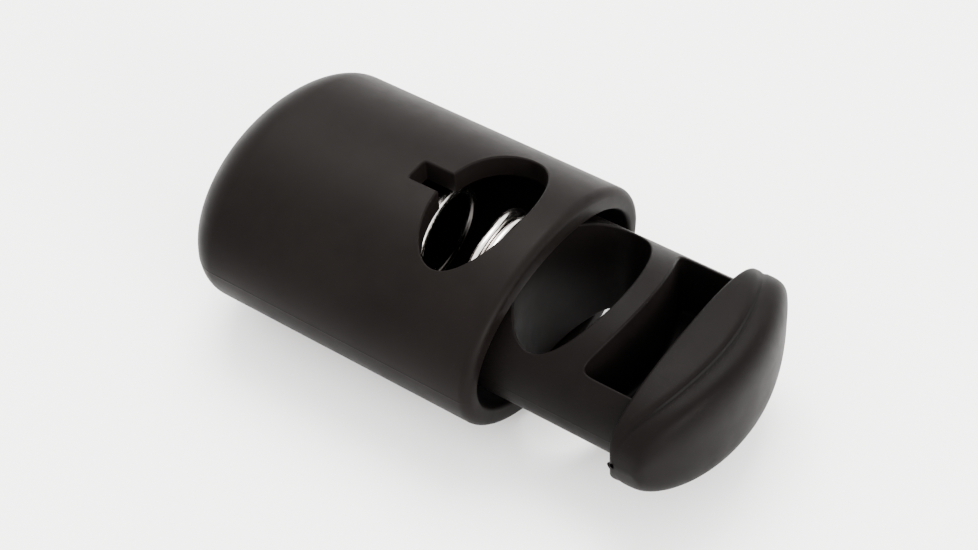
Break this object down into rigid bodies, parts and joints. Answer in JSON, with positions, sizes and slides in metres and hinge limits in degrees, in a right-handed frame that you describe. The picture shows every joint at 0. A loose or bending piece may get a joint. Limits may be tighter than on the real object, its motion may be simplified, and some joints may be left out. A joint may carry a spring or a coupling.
{
  "type": "cord lock",
  "caption": "Oval barrel cord lock for a pair of cords, with a sprung plunger, a domed push button and aligned cord holes.",
  "frame": {"origin": "middle of the whole lock at rest, on the barrel's axis", "axes": "+X along the barrel towards the push button, +Y across the width, +Z along the cords through the cord hole"},
  "size_m": [0.0296, 0.0146, 0.0102],
  "materials": {
    "barrel_plastic": "satin moulded",
    "plunger_plastic": "satin moulded",
    "spring_steel": "bright drawn wire"
  },
  "bodies": {
    "barrel": {"barrel": "barrel_plastic", "compression_spring": "spring_steel"},
    "plunger": {"plunger": "plunger_plastic"}
  },
  "joints": [
    {"name": "button_press", "type": "slide", "parent": "barrel", "child": "plunger", "axis": [-1, 0, 0], "range_m": [0, 0.0053], "stiffness_N_per_m": 600, "springref_m": -0.0032, "deforming": ["compression_spring"]}
  ]
}
